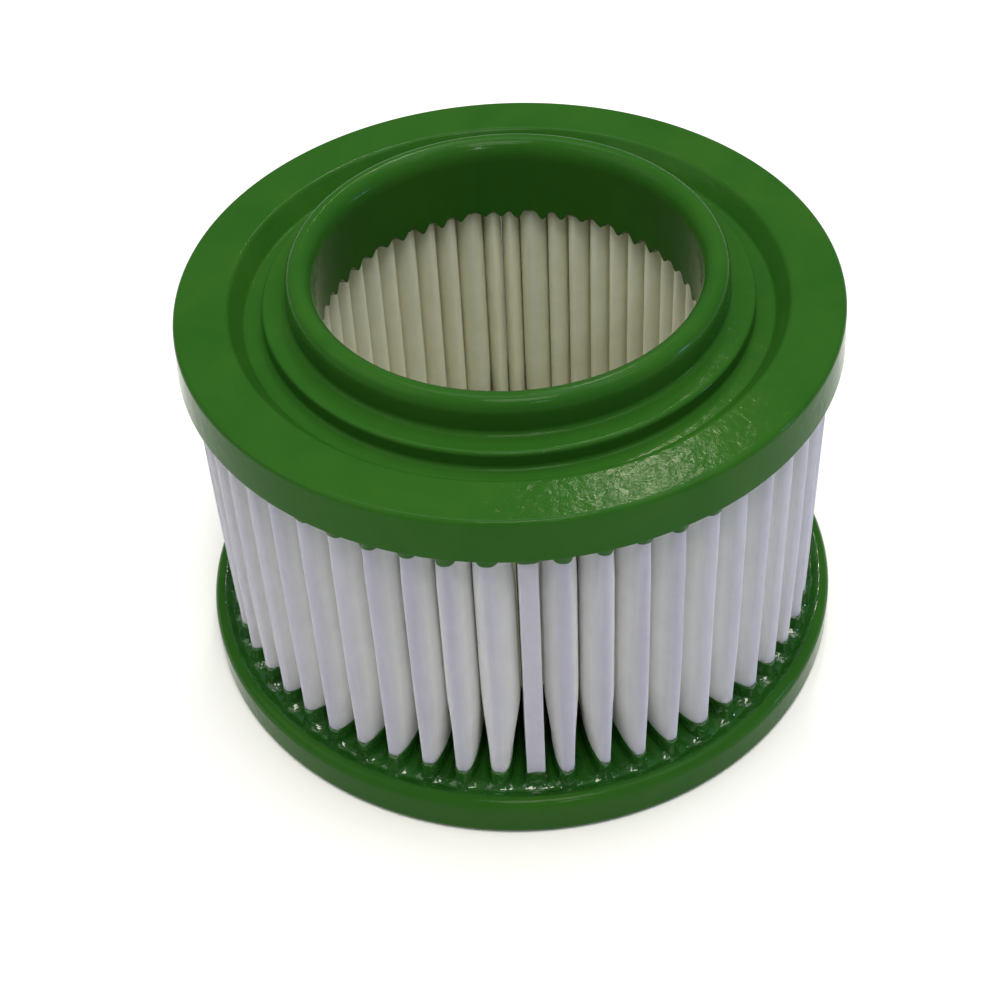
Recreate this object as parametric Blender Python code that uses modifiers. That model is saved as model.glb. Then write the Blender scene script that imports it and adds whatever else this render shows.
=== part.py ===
"""Round pleated air filter cartridge.

A star-pleated strip of white non-woven media is closed into a ring by one bonded
seam, and both of its ends are potted in green moulded polyurethane end caps. The
top cap is an open ring: its inner edge rises into the rounded sealing bead around
the bore. The bottom cap is a closed disc, a little larger than the top one.

Frame: +Z along the cartridge's axis, origin at the centre of the bottom face, and
the media's bonded seam at -Y. Blender units are metres.
"""

import math

import bmesh
import bpy

MM = 0.001

# Overall sizes
TOP_CAP_R = 52.5 * MM
BOTTOM_CAP_R = 54.8 * MM
FACE_Z = 68.7 * MM           # flat face of the top cap
BEAD_RISE = 6.0 * MM         # sealing bead above that face
BORE_R = 30.2 * MM

# Top cap
TOP_CAP_HEIGHT = 7.5 * MM
TOP_EDGE_RADIUS = 1.0 * MM
LOWER_EDGE_RADIUS = 0.4 * MM
BEAD_WIDTH = 4.4 * MM
BEAD_FILLET = 0.9 * MM
LEDGE_R = 38.6 * MM          # step between the bead and the channel
LEDGE_RADIUS = 0.6 * MM
CHANNEL_R = 44.6 * MM        # where the channel's sloping wall meets the flat face
CHANNEL_DEPTH = 3.0 * MM
CHANNEL_SLOPE = 2.2 * MM     # how far that wall leans in

# Bottom cap
POUR_Z = 6.8 * MM            # level that the poured resin set at, around the pleats
RIM_RISE = 0.6 * MM          # rounded rim above that level
RIM_WIDTH = 3.4 * MM
BOTTOM_EDGE_RADIUS = 1.0 * MM

# Pleated media
PLEATS = 54                  # 53 folded pleats and the bonded seam
MEDIA_THICKNESS = 0.7 * MM
OUTER_TIP_R = 50.7 * MM
INNER_TIP_R = 31.6 * MM
OUTER_FOLD_WIDTH = 4.5 * MM
INNER_FOLD_WIDTH = 2.7 * MM
OUTER_FOLD_DEPTH = 1.5 * MM
INNER_FOLD_DEPTH = 1.0 * MM
OUTER_FOLD_STEPS = 3
INNER_FOLD_STEPS = 2
POT_DEPTH = 3.0 * MM         # how deep the media sits in each cap

# Bonded seam: two end legs of the media with adhesive between them
ADHESIVE_THICKNESS = 0.6 * MM
SEAM_TIP_R = 50.3 * MM
ADHESIVE_INNER_R = 36.0 * MM

GAP = 0.3 * MM               # clearance between neighbouring solids
CUTTER_REACH = 1.0 * MM      # how far a cutter stands out of the cap that it cuts
TURN_STEPS = 72
ARC_STEPS = 4
MERGE_DISTANCE = 0.00001

PITCH = 2 * math.pi / PLEATS
UNDERSIDE_Z = FACE_Z - TOP_CAP_HEIGHT
MEDIA_BOTTOM_Z = POUR_Z - POT_DEPTH
MEDIA_TOP_Z = UNDERSIDE_Z + POT_DEPTH
SEAM_LEG_X = ADHESIVE_THICKNESS / 2 + GAP + MEDIA_THICKNESS / 2


def clear_scene():
    for obj in list(bpy.data.objects):
        bpy.data.objects.remove(obj, do_unlink=True)


def new_collection(name):
    collection = bpy.data.collections.new(name)
    bpy.context.scene.collection.children.link(collection)
    return collection


def make_material(name, colour, roughness):
    material = bpy.data.materials.new(name)
    material.use_nodes = True
    shader = material.node_tree.nodes["Principled BSDF"]
    shader.inputs["Base Color"].default_value = (*colour, 1.0)
    shader.inputs["Roughness"].default_value = roughness
    shader.inputs["Metallic"].default_value = 0.0
    return material


def add_object(name, mesh, collection, material=None):
    obj = bpy.data.objects.new(name, mesh)
    collection.objects.link(obj)
    if material:
        mesh.materials.append(material)
    return obj


def arc(centre_r, centre_z, radius, start, end, steps=ARC_STEPS):
    """Points (r, z) on an arc; angles in degrees, 0 outward and 90 up."""
    points = []
    for i in range(steps + 1):
        angle = math.radians(start + (end - start) * i / steps)
        points.append((centre_r + radius * math.cos(angle), centre_z + radius * math.sin(angle)))
    return points


def turned(name, profile, closed, collection, material):
    """A solid of revolution about Z. The profile runs down its outer side."""
    mesh = bpy.data.meshes.new(name)
    bm = bmesh.new()
    verts = [bm.verts.new((r, 0.0, z)) for r, z in profile]
    for a, b in zip(verts, verts[1:]):
        bm.edges.new((a, b))
    if closed:
        bm.edges.new((verts[-1], verts[0]))
    bm.to_mesh(mesh)
    bm.free()
    obj = add_object(name, mesh, collection, material)
    screw = obj.modifiers.new("Turn", "SCREW")
    screw.axis = "Z"
    screw.steps = TURN_STEPS
    screw.render_steps = TURN_STEPS
    screw.use_merge_vertices = True
    screw.merge_threshold = MERGE_DISTANCE
    screw.use_smooth_shade = True
    return obj


def top_cap_profile():
    """Closed section of the top cap: side, underside, bore, bead, ledge, channel, face."""
    bead_r = BEAD_WIDTH / 2
    bead_centre = BORE_R + bead_r
    bead_outer = BORE_R + BEAD_WIDTH
    bead_z = FACE_Z + BEAD_RISE - bead_r
    floor_z = FACE_Z - CHANNEL_DEPTH
    side_r = TOP_CAP_R - TOP_EDGE_RADIUS
    low_r = TOP_CAP_R - LOWER_EDGE_RADIUS
    profile = arc(side_r, FACE_Z - TOP_EDGE_RADIUS, TOP_EDGE_RADIUS, 90, 0)
    profile += arc(low_r, UNDERSIDE_Z + LOWER_EDGE_RADIUS, LOWER_EDGE_RADIUS, 0, -90, 2)
    profile.append((BORE_R, UNDERSIDE_Z))
    profile += arc(bead_centre, bead_z, bead_r, 180, 0, 2 * ARC_STEPS)
    profile += arc(bead_outer + BEAD_FILLET, FACE_Z + BEAD_FILLET, BEAD_FILLET, 180, 270, 2)
    profile += arc(LEDGE_R - LEDGE_RADIUS, FACE_Z - LEDGE_RADIUS, LEDGE_RADIUS, 90, 0, 2)
    profile.append((LEDGE_R, floor_z))
    profile.append((CHANNEL_R - CHANNEL_SLOPE, floor_z))
    profile.append((CHANNEL_R, FACE_Z))
    return profile


def bottom_cap_profile():
    """Open section of the bottom cap, from the axis on top to the axis underneath."""
    rim_r = RIM_WIDTH / 2
    crest_z = POUR_Z + RIM_RISE
    shoulder = BOTTOM_CAP_R - rim_r
    profile = [(0.0, POUR_Z), (BOTTOM_CAP_R - RIM_WIDTH, POUR_Z)]
    profile.append((shoulder - rim_r / 2, crest_z - RIM_RISE / 4))
    profile += arc(shoulder, crest_z - rim_r, rim_r, 90, 0)
    edge = BOTTOM_EDGE_RADIUS
    profile += arc(BOTTOM_CAP_R - edge, edge, edge, 0, -90)
    profile.append((0.0, 0.0))
    return profile


def fold(angle, centre_r, half_width, depth, steps):
    """Half an ellipse across one fold, from its low-angle side to its high-angle side.

    Angles are counted from the seam at -Y towards +X. A positive depth bulges
    outward, and a negative one inward.
    """
    radial = (math.sin(angle), -math.cos(angle))
    tangent = (math.cos(angle), math.sin(angle))
    points = []
    for i in range(steps + 1):
        turn = math.pi * (i / steps - 0.5)
        along = centre_r + depth * math.cos(turn)
        across = half_width * math.sin(turn)
        points.append((along * radial[0] + across * tangent[0],
                       along * radial[1] + across * tangent[1]))
    return points


def media_path(end_r):
    """Centre line of the pleated strip seen from above, from one seam leg to the other."""
    half = MEDIA_THICKNESS / 2
    outer_half = OUTER_FOLD_WIDTH / 2 - half
    inner_half = INNER_FOLD_WIDTH / 2 - half
    outer_centre = OUTER_TIP_R - half - OUTER_FOLD_DEPTH
    inner_centre = INNER_TIP_R + half + INNER_FOLD_DEPTH
    path = [(SEAM_LEG_X, -end_r)]
    for pleat in range(PLEATS):
        if pleat > 0:
            path += fold(pleat * PITCH, outer_centre, outer_half, OUTER_FOLD_DEPTH, OUTER_FOLD_STEPS)
        middle = (pleat + 0.5) * PITCH
        path += fold(middle, inner_centre, inner_half, -INNER_FOLD_DEPTH, INNER_FOLD_STEPS)
    path.append((-SEAM_LEG_X, -end_r))
    return path


def pleated_strip(name, thickness, end_r, z_low, z_high, collection, material=None):
    """The pleated strip as an upright surface thickened by Solidify."""
    mesh = bpy.data.meshes.new(name)
    bm = bmesh.new()
    path = media_path(end_r)
    low = [bm.verts.new((x, y, z_low)) for x, y in path]
    high = [bm.verts.new((x, y, z_high)) for x, y in path]
    for i in range(len(path) - 1):
        bm.faces.new((low[i], low[i + 1], high[i + 1], high[i]))
    bm.to_mesh(mesh)
    bm.free()
    obj = add_object(name, mesh, collection, material)
    solidify = obj.modifiers.new("Thickness", "SOLIDIFY")
    solidify.thickness = thickness
    solidify.offset = 0.0
    solidify.use_even_offset = True
    solidify.use_rim = True
    return obj


def box_between(name, low, high, collection, material=None):
    """A box from its lowest to its highest corner, placed by its location."""
    mesh = bpy.data.meshes.new(name)
    bm = bmesh.new()
    bmesh.ops.create_cube(bm, size=1.0)
    size = [b - a for a, b in zip(low, high)]
    bmesh.ops.scale(bm, vec=size, verts=bm.verts)
    bm.to_mesh(mesh)
    bm.free()
    obj = add_object(name, mesh, collection, material)
    obj.location = [(a + b) / 2 for a, b in zip(low, high)]
    return obj


def cut(target, cutter):
    cutter.hide_render = True
    cutter.display_type = "WIRE"
    boolean = target.modifiers.new("Cut " + cutter.name, "BOOLEAN")
    boolean.operation = "DIFFERENCE"
    boolean.solver = "EXACT"
    boolean.object = cutter


def cut_potting(cap, z_low, z_high, cutters):
    """The pleat-shaped slot that one end of the media and its seam sit in."""
    slot_width = MEDIA_THICKNESS + 2 * GAP
    end_r = SEAM_TIP_R + GAP
    cut(cap, pleated_strip(cap.name + "_pleat_slot", slot_width, end_r, z_low, z_high, cutters))
    half = SEAM_LEG_X
    low = (-half, -end_r, z_low)
    high = (half, -(ADHESIVE_INNER_R - GAP), z_high)
    cut(cap, box_between(cap.name + "_seam_slot", low, high, cutters))


def build():
    clear_scene()
    parts = new_collection("air_filter_cartridge")
    cutters = new_collection("cutters")
    green = make_material("green_polyurethane", (0.036, 0.13, 0.022), 0.35)
    white = make_material("white_media", (0.62, 0.61, 0.6), 0.9)
    glue = make_material("seam_glue", (0.72, 0.68, 0.55), 0.5)

    bottom = turned("bottom_end_cap", bottom_cap_profile(), False, parts, green)
    cut_potting(bottom, MEDIA_BOTTOM_Z - GAP, POUR_Z + CUTTER_REACH, cutters)

    top = turned("top_end_cap", top_cap_profile(), True, parts, green)
    cut_potting(top, UNDERSIDE_Z - CUTTER_REACH, MEDIA_TOP_Z + GAP, cutters)

    pleated_strip("pleated_media", MEDIA_THICKNESS, SEAM_TIP_R,
                  MEDIA_BOTTOM_Z, MEDIA_TOP_Z, parts, white)

    half = ADHESIVE_THICKNESS / 2
    box_between("seam_adhesive", (-half, -SEAM_TIP_R, MEDIA_BOTTOM_Z),
                (half, -ADHESIVE_INNER_R, MEDIA_TOP_Z), parts, glue)


build()
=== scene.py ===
"""Looks of the round pleated air filter element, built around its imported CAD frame.

The media is one thin strip folded into pleats, which narrow where the resin holds them.
Each end cap is one casting: a turned mould side, a poured side whose resin creeps up the
folds, and a collar of resin around the ends of the pleats. Lengths are in metres.
"""

import math

import bpy
import numpy as np
from mathutils import Matrix, Vector
from mathutils.kdtree import KDTree


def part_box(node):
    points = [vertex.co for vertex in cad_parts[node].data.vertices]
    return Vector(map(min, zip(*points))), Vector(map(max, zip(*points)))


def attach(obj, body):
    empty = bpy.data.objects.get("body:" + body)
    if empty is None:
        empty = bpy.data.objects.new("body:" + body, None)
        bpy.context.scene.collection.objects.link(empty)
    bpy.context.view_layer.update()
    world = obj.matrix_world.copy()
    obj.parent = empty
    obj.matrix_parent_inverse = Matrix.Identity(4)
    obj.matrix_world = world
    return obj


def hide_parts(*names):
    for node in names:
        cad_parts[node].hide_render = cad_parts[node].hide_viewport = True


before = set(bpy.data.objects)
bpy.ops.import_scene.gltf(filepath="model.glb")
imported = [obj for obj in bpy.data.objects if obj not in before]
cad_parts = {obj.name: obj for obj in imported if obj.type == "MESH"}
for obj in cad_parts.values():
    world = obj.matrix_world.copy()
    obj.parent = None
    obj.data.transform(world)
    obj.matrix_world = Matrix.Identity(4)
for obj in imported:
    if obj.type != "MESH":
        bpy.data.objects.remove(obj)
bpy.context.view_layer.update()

MM = 0.001
rng = np.random.default_rng(54)

# Places from the frame
top_low, top_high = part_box("top_end_cap")
base_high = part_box("bottom_end_cap")[1]
media_low, media_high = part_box("pleated_media")
TOP_R = top_high.x
BASE_R = base_high.x
CREST_Z = top_high.z
UNDERSIDE_Z = top_low.z

# Top cap's turned section
FACE_Z = CREST_Z - 6.0 * MM
BORE_R = 30.2 * MM
BEAD_OUTER_R = 34.6 * MM
BEAD_CREST_R = 32.6 * MM
BEAD_INNER_DROP = 3.4 * MM
BEAD_OUTER_DROP = 2.4 * MM
LEDGE_R = 38.6 * MM
CHANNEL_FLOOR_R = 42.0 * MM
CHANNEL_R = 44.6 * MM
CHANNEL_DEPTH = 3.0 * MM

# Bottom cap's poured level and rim
POUR_Z = base_high.z - 0.6 * MM
RIM_WIDTH = 3.4 * MM

# Resin that creeps along the media
COLLAR_HEIGHT = 3.6 * MM     # at the bottom cap
COLLAR_FLARE = 0.75 * MM
COLLAR_FLARE_LENGTH = 0.7 * MM
TOP_COLLAR_HEIGHT = 2.9 * MM
TOP_COLLAR_FLARE = 1.3 * MM
TOP_COLLAR_FLARE_LENGTH = 1.1 * MM
TOP_COLLAR_INNER_SHARE = 0.06
COLLAR_SKIN = 0.18 * MM
COLLAR_KNOT_SPACING = 9      # strip columns between the knots of its uneven edge
MENISCUS_HEIGHT = 1.3 * MM
MENISCUS_LENGTH = 0.8 * MM
TONGUE_DROP = 1.5 * MM       # how far the resin hangs between the inner folds

# Pleats
PLEATS = 54
PITCH = 2 * math.pi / PLEATS
MEDIA_THICKNESS = 0.6 * MM
SEAM_LEG_X = 1.15 * MM
SEAM_TIP_R = 50.0 * MM

SEAM_GLUE_INNER_R = 36.0 * MM

# Mesh density
TOP_COLUMNS = 8 * PLEATS
BOTTOM_COLUMNS = 12 * PLEATS
MEDIA_ROWS = 27
SPLINE_STEPS = 2
ARC_STEPS = 7
SEAM_ROWS = 60
UNDERSIDE_ROWS = 34          # of the top cap's poured side
POUR_ROWS = 36               # of the bottom cap's pour, from the rim in to the inner folds
POUR_MIDDLE_ROWS = 12
RIM_WALL_ROWS = 6            # of the rim's inner wall, which has the poured finish


# ---------------------------------------------------------------- mesh helpers

def grid_faces(rows, columns, wrap_rows=False):
    """Quads of a grid closed around its columns; vertex (row, column) is row * columns + column."""
    row = np.arange(rows if wrap_rows else rows - 1)[:, None]
    column = np.arange(columns)[None, :]
    up = (row + 1) % rows
    along = (column + 1) % columns
    corners = [row * columns + column, row * columns + along, up * columns + along, up * columns + column]
    return np.stack([np.broadcast_to(c, (row.size, columns)).ravel() for c in corners], 1).tolist()


def mesh_object(name, parts, materials):
    """One smooth-shaded object from parts, each (points, faces, material index)."""
    points, faces, slots, offset = [], [], [], 0
    for part_points, part_faces, slot in parts:
        points.append(part_points.reshape(-1, 3))
        faces += [[corner + offset for corner in face] for face in part_faces]
        slots += [slot] * len(part_faces)
        offset += len(points[-1])
    mesh = bpy.data.meshes.new(name)
    mesh.from_pydata(np.concatenate(points).tolist(), [], faces)
    for material in materials:
        mesh.materials.append(material)
    mesh.polygons.foreach_set("material_index", slots)
    mesh.update()
    mesh.shade_smooth()
    obj = bpy.data.objects.new(name, mesh)
    bpy.context.scene.collection.objects.link(obj)
    return obj


def smoothstep(low, high, value):
    t = np.clip((value - low) / (high - low), 0.0, 1.0)
    return t * t * (3 - 2 * t)


def spline(control, steps):
    """Uniform cubic B-spline along axis 1 of the control points, ending at its end points."""
    first = 2 * control[:, :1] - control[:, 1:2]
    last = 2 * control[:, -1:] - control[:, -2:-1]
    p = np.concatenate([first, control, last], 1)
    spans = [p[:, i:p.shape[1] - 3 + i] for i in range(4)]
    curve = []
    for t in np.arange(steps) / steps:
        weights = (1 - t) ** 3, 3 * t ** 3 - 6 * t ** 2 + 4, -3 * t ** 3 + 3 * t ** 2 + 3 * t + 1, t ** 3
        curve.append(sum(w * s for w, s in zip(weights, spans)) / 6)
    inner = np.stack(curve, 2).reshape(control.shape[0], -1, control.shape[2])
    return np.concatenate([inner, control[:, -1:]], 1)


def arc(centre_r, centre_z, radius_r, radius_z, start, end, steps=ARC_STEPS):
    """Points (r, z) on an elliptical arc; angles in degrees, 0 outward and 90 up."""
    angles = np.radians(np.linspace(start, end, steps + 1))
    return [(centre_r + radius_r * math.cos(a), centre_z + radius_z * math.sin(a)) for a in angles]


def supported(profile, margin=0.12 * MM, longest=3.0 * MM):
    """The profile with points near the ends of its straight runs, so that flats shade flat."""
    points = [profile[0]]
    for a, b in zip(profile, profile[1:]):
        length = math.hypot(b[0] - a[0], b[1] - a[1])
        shares = [1.0]
        if length > 4 * margin:
            inner = np.linspace(margin / length, 1 - margin / length, 2 + int(length / longest))
            shares = [*inner, 1.0]
        points += [(a[0] + (b[0] - a[0]) * s, a[1] + (b[1] - a[1]) * s) for s in shares]
    return np.array(points)


# ---------------------------------------------------------------- pleated media

# Half a pleat from its outer tip to the middle of the next inner fold, as
# (share of the pitch, radius in mm): as it stands free, and where the resin pinches it.
FREE_HALF = [(0.0, 50.65), (0.09, 50.65), (0.165, 50.35), (0.25, 48.9), (0.50, 46.6),
             (0.34, 42.5), (-0.02, 35.4), (0.22, 32.7), (0.5, 31.1)]
PINCHED_HALF = [(0.0, 50.55), (0.08, 50.55), (0.145, 50.2), (0.20, 48.8), (0.24, 46.5),
                (0.24, 41.5), (0.12, 35.8), (0.23, 32.8), (0.5, 31.1)]
BELLY = 4                    # the point where a free pleat meets its neighbour
SEAM_LEG_R = [SEAM_TIP_R, 48.5 * MM, 45.0 * MM, 40.0 * MM, 35.0 * MM]
SEAM_ROOT = (0.24 * PITCH, 32.2 * MM)
FAR_VALLEYS = {26: 0.22, 28: -0.22}     # pulled together, and open lower down

shift = rng.normal(0, 0.010, PLEATS)
shift[1:] -= 0.14 * np.exp(-np.arange(PLEATS - 1) / 5.0)
valley_shift = rng.normal(0, 0.05, PLEATS)
tip_out = rng.normal(0, 0.11, PLEATS) * MM
inner_out = np.clip(rng.normal(0, 0.16, PLEATS), -0.3, 0.3) * MM
pinched_width = 1 + np.clip(rng.normal(0, 0.09, PLEATS), -0.2, 0.2)
pinch_rise = rng.normal(0, 1.6, PLEATS) * MM
sway_phase = rng.uniform(0, 2 * math.pi, PLEATS)
for pleat, pull in FAR_VALLEYS.items():
    valley_shift[pleat] = pull


def freedom(z, pleat, point):
    """1 where a pleat stands free and 0 where the resin pinches it, at heights z."""
    inside = point > BELLY + 1 and pleat not in FAR_VALLEYS
    reach = 12.0 * MM if inside else 20.0 * MM + pinch_rise[pleat]
    from_bottom = smoothstep(POUR_Z + 1.0 * MM, POUR_Z + reach, z)
    near_top = smoothstep(UNDERSIDE_Z - 11.0 * MM, UNDERSIDE_Z - 2.0 * MM, z)
    return from_bottom * (1 - (0.75 if point < BELLY else 0.15) * near_top)


def seam_belly(pleat, point):
    """Share of the pitch at which the pleat beside the seam bulges out to the seam's leg."""
    radius = FREE_HALF[BELLY][1] * MM
    from_seam = 1 + shift[1] if pleat == 1 else 1 - shift[pleat]
    reach = from_seam - (SEAM_LEG_X + MEDIA_THICKNESS + 0.1 * MM) / (radius * PITCH)
    return {BELLY - 1: reach - 0.22, BELLY: reach + 0.06, BELLY + 1: 0.55 * reach}[point]


def half_pleat(z, pleat, side, order):
    """Control points (angle, radius) of one half of a pleat at heights z."""
    sway = 0.010 * np.sin(z / (9 * MM) + sway_phase[pleat])
    bow = 0.10 * MM * np.sin(z / (14 * MM) + 2 * sway_phase[pleat])
    beside_seam = (pleat, side) in ((1, -1), (PLEATS - 1, 1))
    points = []
    for i in order:
        free = freedom(z, pleat, i)
        outer = max(0.0, 1 - i / BELLY)
        f_free, r_free = FREE_HALF[i]
        f_pinched, r_pinched = PINCHED_HALF[i]
        if beside_seam and abs(i - BELLY) <= 1:
            f_free = seam_belly(pleat, i)
        f = f_pinched * pinched_width[pleat] * (1 - free) + f_free * free
        r = (r_pinched * (1 - free) + r_free * free) * MM
        centre = valley_shift[pleat] if i > BELLY + 1 else shift[pleat]
        angle = (pleat + centre + side * f + sway * outer) * PITCH
        points.append((angle, r + (tip_out[pleat] + bow) * outer))
    return points


def inner_fold(pleat):
    """Control point in the middle of the inner fold before a pleat."""
    middle = pleat - 0.5 + (valley_shift[pleat - 1] + valley_shift[pleat % PLEATS]) / 2
    return middle * PITCH, FREE_HALF[-1][1] * MM + inner_out[pleat - 1]


def strip_path(z):
    """Centre line of the folded strip, seen from above, at each height in z: (rows, columns, 2)."""
    last = len(FREE_HALF) - 1
    control = [(SEAM_LEG_X / r, r) for r in SEAM_LEG_R] + [SEAM_ROOT]
    for pleat in range(1, PLEATS):
        control.append(inner_fold(pleat))
        control += half_pleat(z, pleat, -1, range(last - 1, -1, -1))
        control += half_pleat(z, pleat, 1, range(1, last))
    control.append(inner_fold(PLEATS))
    control.append((2 * math.pi - SEAM_ROOT[0], SEAM_ROOT[1]))
    control += [(2 * math.pi - SEAM_LEG_X / r, r) for r in reversed(SEAM_LEG_R)]
    one = np.ones_like(z)
    polar = spline(np.stack([np.stack([a * one, r * one], -1) for a, r in control], 1), SPLINE_STEPS)
    angle, radius = polar[..., 0], polar[..., 1]
    return np.stack([radius * np.sin(angle), -radius * np.cos(angle)], -1)


def path_at(z):
    """The strip's centre line where each column of z (rows, columns) has its own heights."""
    levels = np.linspace(z.min() - MM, z.max() + MM, 12)
    paths = strip_path(levels)
    place = (z - levels[0]) / (levels[1] - levels[0])
    below = np.clip(place.astype(int), 0, len(levels) - 2)
    share = (place - below)[..., None]
    column = np.arange(z.shape[1])[None, :]
    return paths[below, column] * (1 - share) + paths[below + 1, column] * share


def wrapped(path, offset, z, end_bulge):
    """A closed skin around the strip: loops at every row, offset to both sides, with lids."""
    step = np.gradient(path, axis=1)
    step /= np.linalg.norm(step, axis=2, keepdims=True)
    normal = np.stack([step[..., 1], -step[..., 0]], -1)
    out = path + normal * offset[..., None]
    back = path - normal * offset[..., None]
    tail = path[:, :1] - step[:, :1] * end_bulge
    tip = path[:, -1:] + step[:, -1:] * end_bulge
    loop = np.concatenate([tail, out, tip, back[:, ::-1]], 1)
    z_loop = np.concatenate([z[:, :1], z, z[:, -1:], z[:, ::-1]], 1)
    points = np.concatenate([loop, z_loop[..., None]], -1)
    rows, columns = z_loop.shape
    faces = grid_faces(rows, columns)
    count = path.shape[1]
    for row, flip in ((0, True), (rows - 1, False)):
        first = row * columns
        lid = [[first, first + 1, first + columns - 1]]
        for i in range(count - 1):
            lid.append([first + 1 + i, first + 2 + i, first + columns - 2 - i, first + columns - 1 - i])
        lid.append([first + count, first + count + 1, first + count + 2])
        faces += [face[::-1] for face in lid] if flip else lid
    return points, faces


def make_media(material):
    share = np.linspace(0, 1, MEDIA_ROWS) ** 1.3
    z = media_low.z + (media_high.z - media_low.z) * share
    path = strip_path(z)
    columns = np.ones(path.shape[1])
    offset = np.full(path.shape[:2], MEDIA_THICKNESS / 2)
    points, faces = wrapped(path, offset, z[:, None] * columns, 0.2 * MM)
    return mesh_object("filter_media", [(points, faces, 0)], [material])


def make_seam(material):
    """Adhesive between the media's two end legs and over their outer ends, seen as one narrow fold."""
    z = np.linspace(media_low.z, media_high.z, SEAM_ROWS)
    core = SEAM_LEG_X - MEDIA_THICKNESS / 2 - 0.02 * MM
    cover = SEAM_LEG_X + MEDIA_THICKNESS / 2 + 0.03 * MM
    back = SEAM_TIP_R + 0.02 * MM
    inner = SEAM_GLUE_INNER_R
    round_r = 0.28 * MM
    wobble = 0.05 * MM * np.sin(z / (1.9 * MM)) + 0.04 * MM * np.sin(z / (0.83 * MM) + 1.0)
    low, high = POUR_Z + COLLAR_HEIGHT, UNDERSIDE_Z - TOP_COLLAR_HEIGHT
    clear = smoothstep(low - MM, low, z) * (1 - smoothstep(high, high + MM, z))
    section = [(core, inner), (core, back), (cover - 0.05 * MM, back), (cover, back + 0.05 * MM)]
    section += arc(cover - round_r, back + 0.5 * MM - round_r, round_r, round_r, 0, 90, 5)
    section = section + [(-x, r) for x, r in reversed(section)]
    points = np.stack([np.stack([x + 0 * z, -(r + (wobble - 0.3 * MM * (1 - clear)) * (r > back)), z], -1)
                       for x, r in section], 1)
    faces = [face[::-1] for face in grid_faces(len(z), len(section))]
    ends = list(range(len(section)))
    faces += [ends, [i + (len(z) - 1) * len(section) for i in reversed(ends)]]
    return mesh_object("seam_adhesive_bead", [(points, faces, 0)], [material])


# ---------------------------------------------------------------- end caps

def media_tree(z):
    """Nearest-point lookup of the strip's centre line at height z."""
    path = strip_path(np.array([z]))[0]
    fine = [path + (np.roll(path, -1, 0) - path) * s for s in (0, 0.25, 0.5, 0.75)]
    points = np.concatenate([f[:-1] for f in fine])
    tree = KDTree(len(points))
    for i, (x, y) in enumerate(points):
        tree.insert((x, y, 0.0), i)
    tree.balance()
    return tree


def creep(tree, x, y):
    """Height that the poured surface rises towards the media at points x, y."""
    distance = np.array([tree.find((a, b, 0.0))[2] for a, b in zip(x.ravel(), y.ravel())])
    clear = np.maximum(distance.reshape(x.shape) - MEDIA_THICKNESS / 2, 0.0)
    return MENISCUS_HEIGHT * np.exp(-clear / MENISCUS_LENGTH)


def revolved(profile, columns, poured, level, direction, tongues=None):
    """A section turned about Z whose poured rows creep towards the media.

    The profile runs up its outer side. poured is 0 to 1 for each of its points, and
    tongues is how far each point drops between the inner folds.
    """
    angle = np.arange(columns) * 2 * math.pi / columns
    r = profile[:, 0][:, None]
    x = r * np.sin(angle)
    y = -r * np.cos(angle)
    z = np.repeat(profile[:, 1][:, None], columns, 1)
    rows = np.nonzero(poured)[0]
    tree = media_tree(level + direction * MM)
    z[rows] += direction * poured[rows][:, None] * creep(tree, x[rows], y[rows])
    if tongues is not None:
        pleat = np.round(angle / PITCH).astype(int)
        off = angle / PITCH - pleat - valley_shift[pleat % PLEATS]
        depth = 1 + 0.25 * np.sin(5.1 * pleat)
        z -= tongues[:, None] * depth * np.clip(np.cos(math.pi * off), 0, 1) ** 3
    return np.stack([x, y, z], -1)


def skin_rows(height, flare, flare_length):
    """Rise and thickness of a resin skin from its root to its thin edge."""
    shares = np.array([-0.35, 0.0, 0.12, 0.25, 0.42, 0.62, 0.82, 0.93, 0.99, 1.0])
    skin = np.array([1.0, 1.0, 1.0, 1.0, 1.0, 1.0, 1.0, 0.85, 0.35, -0.8])
    rise = shares[:, None] * height
    spread = flare * np.exp(-np.maximum(rise, 0) / flare_length) * (skin[:, None] > 0)
    return rise, COLLAR_SKIN * skin[:, None] + spread


def collar(level, direction, full_height, flare, flare_length, inner_share):
    """Resin skin that wraps the pleat ends, thick at the pour and thin at its edge."""
    radius = np.linalg.norm(strip_path(np.array([level]))[0], axis=1)
    columns = len(radius)
    knots = rng.normal(0, 1, columns // COLLAR_KNOT_SPACING + 2)
    uneven = np.interp(np.arange(columns) / COLLAR_KNOT_SPACING, np.arange(len(knots)), knots)
    inward = smoothstep(43 * MM, 34 * MM, radius)
    height = full_height * (1 + 0.09 * uneven) * (1 - (1 - inner_share) * inward)
    outward = smoothstep(46 * MM, 49.5 * MM, radius)
    rise, thickness = skin_rows(height, COLLAR_FLARE + (flare - COLLAR_FLARE) * outward, flare_length)
    z = level + direction * rise
    offset = MEDIA_THICKNESS / 2 + thickness
    if direction < 0:
        z, offset = z[::-1], offset[::-1]
    return wrapped(path_at(z), offset, z, 0.2 * MM)


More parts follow.
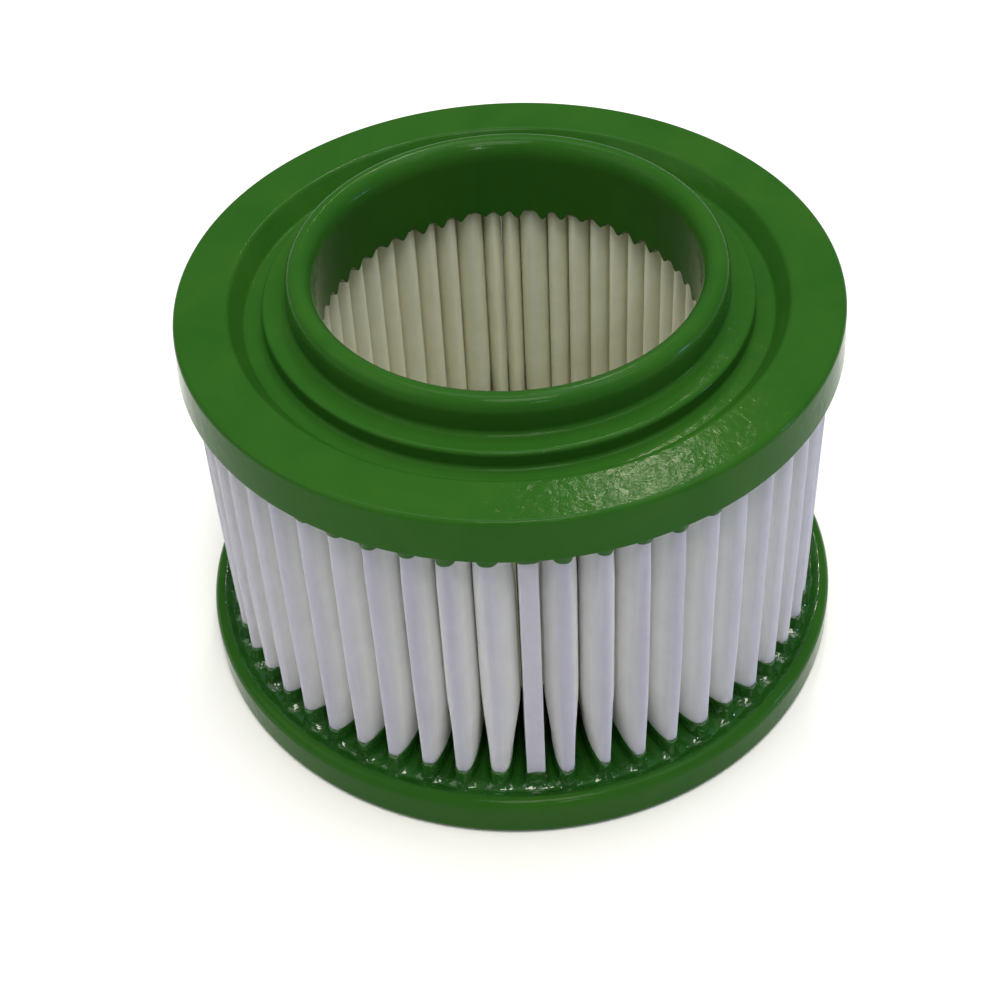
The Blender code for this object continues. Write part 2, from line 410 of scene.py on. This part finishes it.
def seam_boot(level, direction, full_height, flare, flare_length):
    """Resin around the seam's end, which joins its two legs into one."""
    steps_back = np.array([0.0, 0.12, 0.35, 0.8, 3.0, 9.0]) * MM
    corner = np.array([0.62, 0.85, 0.97, 1.0, 1.0, 1.0])
    height = np.full(len(corner), full_height)
    rise, thickness = skin_rows(height, flare, flare_length)
    z = level + direction * rise
    radius = SEAM_TIP_R + 0.25 * MM + thickness - steps_back
    offset = (SEAM_LEG_X + MEDIA_THICKNESS / 2 + thickness) * corner
    if direction < 0:
        z, radius, offset = z[::-1], radius[::-1], offset[::-1]
    path = np.stack([np.zeros_like(radius), -radius], -1)
    return wrapped(path, offset, z, 0.1 * MM)


def make_top_cap(moulded, poured_finish):
    edge = 0.9 * MM
    low_edge = 0.25 * MM
    fillet = 0.8 * MM
    small = 0.6 * MM
    lip = 1.1 * MM
    floor_z = FACE_Z - CHANNEL_DEPTH
    slope = math.degrees(math.atan2(CHANNEL_DEPTH, CHANNEL_R - CHANNEL_FLOOR_R))
    draft = 0.35 * MM
    mould = arc(TOP_R + draft - low_edge, UNDERSIDE_Z + low_edge, low_edge, low_edge, -45, 0, 3)
    mould += arc(TOP_R - edge, FACE_Z - edge, edge, edge, 0, 90)
    mould += arc(CHANNEL_R, FACE_Z - lip, lip, lip, 90, 90 + slope, 6)
    mould += arc(CHANNEL_FLOOR_R - small, floor_z + small, small, small, slope - 90, -90, 3)
    mould += arc(LEDGE_R + small, floor_z + small, small, small, -90, -180, 4)
    mould += arc(LEDGE_R - small, FACE_Z - small, small, small, 0, 90, 5)
    mould += arc(BEAD_OUTER_R + fillet, FACE_Z + fillet, fillet, fillet, -90, -180, 5)
    mould += arc(BEAD_CREST_R, CREST_Z - BEAD_OUTER_DROP, BEAD_OUTER_R - BEAD_CREST_R,
                 BEAD_OUTER_DROP, 0, 90, 9)
    mould += arc(BEAD_CREST_R, CREST_Z - BEAD_INNER_DROP, BEAD_CREST_R - BORE_R,
                 BEAD_INNER_DROP, 90, 180, 9)[1:]
    mould += arc(BORE_R + low_edge, UNDERSIDE_Z + low_edge, low_edge, low_edge, 180, 225, 3)
    mould = supported(mould)
    under_r = np.linspace(BORE_R + 0.3 * MM, TOP_R - 0.3 * MM, UNDERSIDE_ROWS)
    under = np.stack([under_r, np.full_like(under_r, UNDERSIDE_Z + 0.12 * MM)], -1)
    profile = np.concatenate([mould, under])
    creeping = np.zeros(len(profile))
    creeping[len(mould):] = smoothstep(BORE_R, BORE_R + MM, under_r) * smoothstep(TOP_R, TOP_R - MM, under_r)
    hang = smoothstep(UNDERSIDE_Z + 3 * MM, UNDERSIDE_Z, profile[:, 1])
    tongues = TONGUE_DROP * hang * smoothstep(BORE_R + 3.6 * MM, BORE_R + 1.2 * MM, profile[:, 0])
    points = revolved(profile, TOP_COLUMNS, creeping, UNDERSIDE_Z, -1, tongues)
    faces = grid_faces(len(profile), TOP_COLUMNS, wrap_rows=True)
    split = (len(mould) - 1) * TOP_COLUMNS
    skin = (UNDERSIDE_Z, -1, TOP_COLLAR_HEIGHT, TOP_COLLAR_FLARE, TOP_COLLAR_FLARE_LENGTH)
    collar_part = (*collar(*skin, TOP_COLLAR_INNER_SHARE), 0)
    parts = [(points, faces, 0), collar_part, (*seam_boot(*skin), 0)]
    obj = mesh_object("top_cap_casting", parts, [moulded, poured_finish])
    for polygon in obj.data.polygons[split:len(faces)]:
        polygon.material_index = 1
    return obj


def make_bottom_cap(moulded, poured_finish):
    edge = 1.0 * MM
    rim = RIM_WIDTH / 2
    crest = base_high.z
    hub = 0.6 * MM
    under = [(hub, 0.0), (BASE_R - edge, 0.0)]
    side = arc(BASE_R - edge, edge, edge, edge, -90, 0)
    rim_out = arc(BASE_R - rim, crest - rim, rim, rim, 0, 90, 8)
    falls = np.linspace(0, 1, 7)[1:-1]
    rim_in = [(BASE_R - rim - (rim + 0.2 * MM) * t, POUR_Z + (crest - POUR_Z) * (1 - smoothstep(0, 1, t)))
              for t in falls]
    mould = supported(under[:1] + side + rim_out + rim_in)
    pour_r = np.concatenate([np.linspace(BASE_R - RIM_WIDTH - 0.2 * MM, 31.0 * MM, POUR_ROWS),
                             np.linspace(29.5 * MM, hub, POUR_MIDDLE_ROWS)])
    pour = np.stack([pour_r, np.full_like(pour_r, POUR_Z)], -1)
    profile = np.concatenate([mould, pour])
    creeping = np.zeros(len(profile))
    creeping[len(mould):] = smoothstep(BASE_R - RIM_WIDTH + 0.8 * MM, BASE_R - RIM_WIDTH - 0.6 * MM, pour_r)
    points = revolved(profile, BOTTOM_COLUMNS, creeping, POUR_Z, 1)
    faces = grid_faces(len(profile), BOTTOM_COLUMNS)
    split = (len(mould) - RIM_WALL_ROWS) * BOTTOM_COLUMNS
    ring = list(range(BOTTOM_COLUMNS))
    faces += [[i + (len(profile) - 1) * BOTTOM_COLUMNS for i in ring], ring[::-1]]
    skin = (POUR_Z, 1, COLLAR_HEIGHT, COLLAR_FLARE, COLLAR_FLARE_LENGTH)
    parts = [(points, faces, 0), (*collar(*skin, 1.0), 1), (*seam_boot(*skin), 1)]
    obj = mesh_object("bottom_cap_casting", parts, [moulded, poured_finish])
    for polygon in obj.data.polygons[split:len(faces) - 1]:
        polygon.material_index = 1
    return obj


# ---------------------------------------------------------------- materials

class Shader:
    """A node material around one Principled BSDF."""

    def __init__(self, name, **sockets):
        self.material = bpy.data.materials.new(name)
        self.material.use_nodes = True
        self.tree = self.material.node_tree
        self.bsdf = self.tree.nodes["Principled BSDF"]
        self.place = self.tree.nodes.new("ShaderNodeTexCoord").outputs["Object"]
        for socket, value in sockets.items():
            self.bsdf.inputs[socket.replace("_", " ")].default_value = value

    def node(self, kind, links=(), **settings):
        node = self.tree.nodes.new(kind)
        for key, value in settings.items():
            if hasattr(node, key):
                setattr(node, key, value)
            else:
                node.inputs[key.replace("_", " ")].default_value = value
        for socket, source in dict(links).items():
            self.tree.links.new(source, node.inputs[socket])
        return node

    def noise(self, scale, detail=3.0, roughness=0.55, distortion=0.0, stretch=None):
        place = self.place
        if stretch:
            scales, turn = stretch
            mapping = self.node("ShaderNodeMapping", {"Vector": place}, Scale=scales, Rotation=turn)
            place = mapping.outputs["Vector"]
        return self.node("ShaderNodeTexNoise", {"Vector": place}, Scale=scale, Detail=detail,
                         Roughness=roughness, Distortion=distortion).outputs["Fac"]

    def ramp(self, source, *stops):
        node = self.node("ShaderNodeValToRGB", {"Fac": source})
        ramp = node.color_ramp
        while len(ramp.elements) < len(stops):
            ramp.elements.new(0.5)
        for element, (position, colour) in zip(ramp.elements, stops):
            element.position = position
            element.color = (*colour, 1.0)
        return node.outputs["Color"]

    def remap(self, source, low, high, to_low, to_high):
        node = self.node("ShaderNodeMapRange", {"Value": source})
        ends = {"From Min": low, "From Max": high, "To Min": to_low, "To Max": to_high}
        for socket, value in ends.items():
            node.inputs[socket].default_value = value
        return node.outputs["Result"]

    def radius(self):
        """Distance from the element's axis."""
        flat = self.node("ShaderNodeVectorMath", {0: self.place}, operation="MULTIPLY")
        flat.inputs[1].default_value = (1.0, 1.0, 0.0)
        length = self.node("ShaderNodeVectorMath", {0: flat.outputs["Vector"]}, operation="LENGTH")
        return length.outputs["Value"]

    def bump(self, height, strength, distance, base=None):
        links = {"Height": height}
        if base is not None:
            links["Normal"] = base
        return self.node("ShaderNodeBump", links, Strength=strength, Distance=distance).outputs["Normal"]

    def connect(self, **sources):
        for socket, source in sources.items():
            self.tree.links.new(source, self.bsdf.inputs[socket.replace("_", " ")])
        return self.material


def moulded_resin():
    s = Shader("green_resin_moulded", IOR=1.5, Specular_IOR_Level=0.05)
    cloud = s.noise(70, detail=4, distortion=0.8)
    colour = s.ramp(cloud, (0.32, (0.018, 0.083, 0.009)), (0.52, (0.021, 0.089, 0.010)),
                    (0.72, (0.025, 0.094, 0.010)))
    roughness = s.remap(s.noise(420, detail=3), 0.35, 0.65, 0.08, 0.15)
    waves = s.bump(s.noise(480, detail=4, distortion=0.3), 0.36, 0.18 * MM)
    pits = s.bump(s.noise(900, detail=3), 0.45, 0.05 * MM, waves)
    return s.connect(Base_Color=colour, Roughness=roughness, Normal=pits)


def poured_resin():
    s = Shader("green_resin_poured", IOR=1.5, Specular_IOR_Level=0.55)
    cloud = s.noise(160, detail=3)
    colour = s.ramp(cloud, (0.3, (0.009, 0.058, 0.006)), (0.7, (0.016, 0.088, 0.010)))
    roughness = s.remap(s.noise(700, detail=3), 0.3, 0.7, 0.06, 0.11)
    ripples = s.noise(420, detail=2, distortion=0.8)
    among_pleats = s.remap(s.radius(), 29 * MM, 34 * MM, 0.03, 1.0)
    height = s.node("ShaderNodeMath", {0: ripples, 1: among_pleats}, operation="MULTIPLY").outputs["Value"]
    return s.connect(Base_Color=colour, Roughness=roughness, Normal=s.bump(height, 0.7, 0.4 * MM))


def white_media():
    """Painted light and shade by radius: warm and light at the inner folds, grey and much darker at the
    outer tips.

    The colours were chosen under this script's lights and aren't the bare material's: the darker outer tips
    are painted shade, their lilac is painted cool window light, and the warm, light inner folds are painted
    light.
    """
    s = Shader("nonwoven_media", Roughness=0.95, Sheen_Weight=0.1, Sheen_Roughness=0.6,
               Specular_IOR_Level=0.2, Subsurface_Weight=0.9, Subsurface_Radius=(1.0, 0.95, 0.85),
               Subsurface_Scale=5.0 * MM)
    depth = s.remap(s.radius(), 32 * MM, 51 * MM, 0.0, 1.0)
    # Painted light and shade: lighter and warmer towards the inner folds, darker and lilac at the outer tips
    painted_light_and_shade = s.ramp(depth, (0.0, (0.98, 0.95, 0.68)), (0.60, (0.93, 0.92, 0.83)), (0.90, (0.76, 0.76, 0.75)),
                  (1.0, (0.35, 0.345, 0.43)))
    blotch = s.ramp(s.noise(240, detail=4), (0.3, (0.93, 0.93, 0.93)), (0.7, (1.0, 1.0, 1.0)))
    colour = s.node("ShaderNodeVectorMath", {0: painted_light_and_shade, 1: blotch}, operation="MULTIPLY").outputs["Vector"]
    fibres = s.noise(1500, detail=6, roughness=0.7, distortion=2.0)
    strands = s.noise(700, detail=3, distortion=1.2, stretch=((1.0, 1.0, 0.25), (0.3, 0.2, 0.0)))
    fuzz = s.bump(fibres, 0.35, 0.08 * MM)
    lay = s.bump(strands, 0.25, 0.12 * MM, fuzz)
    return s.connect(Base_Color=colour, Normal=lay)


def seam_glue():
    s = Shader("seam_glue", IOR=1.48, Subsurface_Weight=0.7, Subsurface_Radius=(1.0, 0.95, 0.85),
               Subsurface_Scale=1.6 * MM)
    # Grey-lilac and darkened along with the media's outer tips: painted shade and painted cool window light
    colour = s.ramp(s.noise(500), (0.3, (0.38, 0.375, 0.45)), (0.7, (0.41, 0.405, 0.48)))
    roughness = s.remap(s.noise(900), 0.3, 0.7, 0.45, 0.65)
    return s.connect(Base_Color=colour, Roughness=roughness, Normal=s.bump(s.noise(600), 0.3, 0.1 * MM))


# ---------------------------------------------------------------- stage

def make_floor():
    bpy.ops.mesh.primitive_plane_add(size=6.0, location=(0, 0, -0.0001))
    floor = bpy.context.object
    floor.name = "floor"
    material = bpy.data.materials.new("pale_floor")
    material.use_nodes = True
    shader = material.node_tree.nodes["Principled BSDF"]
    shader.inputs["Base Color"].default_value = (0.95, 0.95, 0.95, 1)
    shader.inputs["Roughness"].default_value = 0.9
    shader.inputs["Specular IOR Level"].default_value = 0.0
    floor.data.materials.append(material)


def softbox(name, azimuth, elevation, distance, size, power, colour):
    """An area light aimed at the element; azimuth 0 is at -Y and 90 at +X."""
    a, e = math.radians(azimuth), math.radians(elevation)
    target = Vector((0, 0, 0.05))
    away = Vector((math.sin(a) * math.cos(e), -math.cos(a) * math.cos(e), math.sin(e)))
    light = bpy.data.lights.new(name, "AREA")
    light.shape = "RECTANGLE"
    light.size, light.size_y = size
    light.energy = power
    light.color = colour
    obj = bpy.data.objects.new(name, light)
    obj.location = target + away * distance
    obj.rotation_mode = "QUATERNION"
    obj.rotation_quaternion = away.to_track_quat("Z", "Y")
    bpy.context.scene.collection.objects.link(obj)


def make_lights():
    world = bpy.data.worlds.new("studio")
    world.use_nodes = True
    background = world.node_tree.nodes["Background"]
    background.inputs["Color"].default_value = (0.80, 0.87, 1.0, 1)
    background.inputs["Strength"].default_value = 0.26
    bpy.context.scene.world = world
    softbox("overhead", 168, 76, 1.6, (1.2, 0.8), 11.6, (0.99, 0.99, 1.0))
    softbox("front_high", 6, 69, 1.1, (0.4, 0.4), 6.4, (1.0, 0.95, 0.84))
    softbox("left_fill", -80, 44, 1.1, (0.9, 0.7), 3.0, (1.0, 0.95, 0.84))
    softbox("right_high", 70, 60, 1.2, (0.4, 0.4), 1.8, (1.0, 0.95, 0.82))
    softbox("back_glare", 171.5, 46.5, 0.9, (0.05, 0.035), 0.42, (1.0, 0.95, 0.72))
    softbox("back_upper", 168, 56, 0.9, (0.06, 0.05), 1.0, (1.0, 0.96, 0.80))
    softbox("right_window", 84, 5, 1.0, (0.14, 0.05), 1.3, (0.42, 0.62, 1.0))
    softbox("front_window", 12, 40, 1.2, (0.03, 0.04), 0.9, (0.92, 1.0, 0.95))


def make_camera():
    """At the viewing angle of a person looking down at the element on a table."""
    yaw, pitch, roll = math.radians(0.393), math.radians(44.52), math.radians(-3.147)
    ahead = Vector((math.sin(yaw) * math.cos(pitch), math.cos(yaw) * math.cos(pitch), -math.sin(pitch)))
    level = Vector((math.cos(yaw), -math.sin(yaw), 0.0))
    up = level.cross(ahead)
    right = level * math.cos(roll) + up * math.sin(roll)
    top = up * math.cos(roll) - level * math.sin(roll)
    data = bpy.data.cameras.new("camera")
    data.lens = 67.0
    data.sensor_width = 36.0
    data.clip_start = 0.01
    camera = bpy.data.objects.new("camera", data)
    turn = Matrix((right, top, -ahead)).transposed()
    camera.matrix_world = Matrix.Translation((-0.00466, -0.23106, 0.24897)) @ turn.to_4x4()
    bpy.context.scene.collection.objects.link(camera)
    bpy.context.scene.camera = camera


make_camera()
make_lights()
make_floor()
bpy.context.scene.view_settings.view_transform = "Standard"

resin = moulded_resin()
pour = poured_resin()
media = make_media(white_media())
seam = make_seam(seam_glue())
top_cap = make_top_cap(resin, pour)
bottom_cap = make_bottom_cap(resin, pour)

for piece, node, slot in ((top_cap, "top_end_cap", "polyurethane"),
                          (bottom_cap, "bottom_end_cap", "polyurethane"),
                          (media, "pleated_media", "media"),
                          (seam, "seam_adhesive", "adhesive")):
    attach(piece, "root")
    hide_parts(node)
